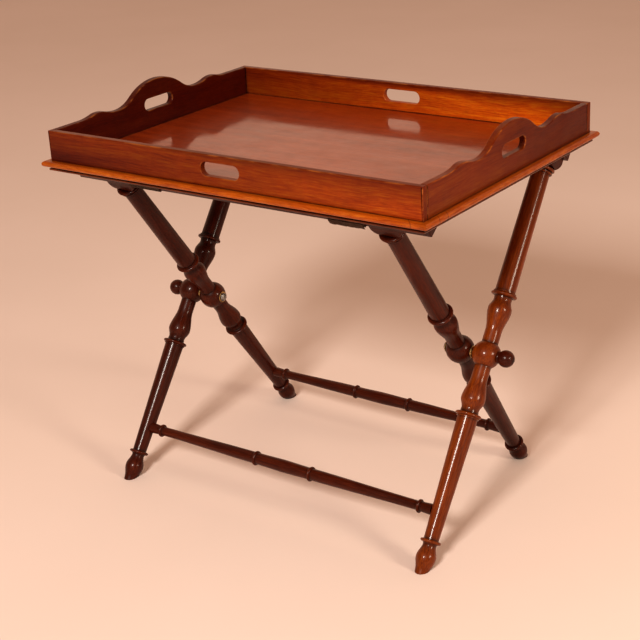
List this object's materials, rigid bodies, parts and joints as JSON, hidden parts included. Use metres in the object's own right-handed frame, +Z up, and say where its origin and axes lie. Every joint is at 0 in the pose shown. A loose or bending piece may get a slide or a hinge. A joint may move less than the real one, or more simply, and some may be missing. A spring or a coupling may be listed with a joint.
{
  "type": "butler's tray table",
  "caption": "Rectangular wooden tray with a four-sided gallery and hand holes, resting loose on a folding X-frame stand with turned legs.",
  "frame": {"origin": "on the ground, under the middle of the tray", "axes": "+Z up, +X along the tray's length, -Y towards the front, where the inner frame's rail lies"},
  "size_m": [0.847, 0.625, 0.7795],
  "materials": {
    "polished_mahogany": "glossy French polish over figured mahogany, worn lighter along the edges",
    "dark_mahogany": "glossy dark mahogany polish, grain along the turning",
    "webbing": "coarse twill upholstery webbing, aged brown",
    "old_brass": "tarnished brass",
    "dark_steel": "dull darkened steel"
  },
  "bodies": {
    "front_frame": {"front_rail": "dark_mahogany", "front_leg_left": "dark_mahogany", "front_leg_right": "dark_mahogany", "front_block_left": "dark_mahogany", "front_block_right": "dark_mahogany", "front_peg_left": "dark_mahogany", "front_peg_right": "dark_mahogany", "front_stretcher": "dark_mahogany", "front_strap_wrap_left": "webbing", "front_strap_wrap_right": "webbing", "strap_span_left": "webbing", "strap_span_right": "webbing", "pivot_bolt_left": "dark_steel", "pivot_bolt_right": "dark_steel", "pivot_washer_left": "old_brass", "pivot_washer_right": "old_brass", "pivot_spacer_left": "old_brass", "pivot_spacer_right": "old_brass", "pivot_knob_left": "dark_mahogany", "pivot_knob_right": "dark_mahogany"},
    "back_frame": {"back_rail": "dark_mahogany", "back_leg_left": "dark_mahogany", "back_leg_right": "dark_mahogany", "back_block_left": "dark_mahogany", "back_block_right": "dark_mahogany", "back_peg_left": "dark_mahogany", "back_peg_right": "dark_mahogany", "back_stretcher": "dark_mahogany", "back_strap_wrap_left": "webbing", "back_strap_wrap_right": "webbing"},
    "tray": {"tray_panel": "polished_mahogany", "gallery_front": "polished_mahogany", "gallery_back": "polished_mahogany", "gallery_left": "polished_mahogany", "gallery_right": "polished_mahogany", "edge_moulding_front": "polished_mahogany", "edge_moulding_back": "polished_mahogany", "edge_moulding_left": "polished_mahogany", "edge_moulding_right": "polished_mahogany", "under_frame_front": "polished_mahogany", "under_frame_back": "polished_mahogany", "under_frame_left": "polished_mahogany", "under_frame_right": "polished_mahogany", "tray_screw_1": "old_brass", "tray_screw_2": "old_brass", "tray_screw_3": "old_brass", "tray_screw_4": "old_brass", "tray_screw_5": "old_brass", "tray_screw_6": "old_brass", "tray_screw_7": "old_brass", "tray_screw_8": "old_brass"}
  },
  "joints": [
    {"name": "stand_fold", "type": "hinge", "parent": "front_frame", "child": "back_frame", "pos_m": [0, 0, 0.331], "axis": [1, 0, 0], "range_deg": [0, 65], "deforming": ["strap_span_left", "strap_span_right"]},
    {"name": "tray_lift", "type": "slide", "parent": "front_frame", "child": "tray", "axis": [0, 0, 1], "range_m": [0, 0.48]}
  ],
  "couplings": [
    {"joint": "tray_lift", "follows": "stand_fold", "m_per_rad": 0.42}
  ]
}
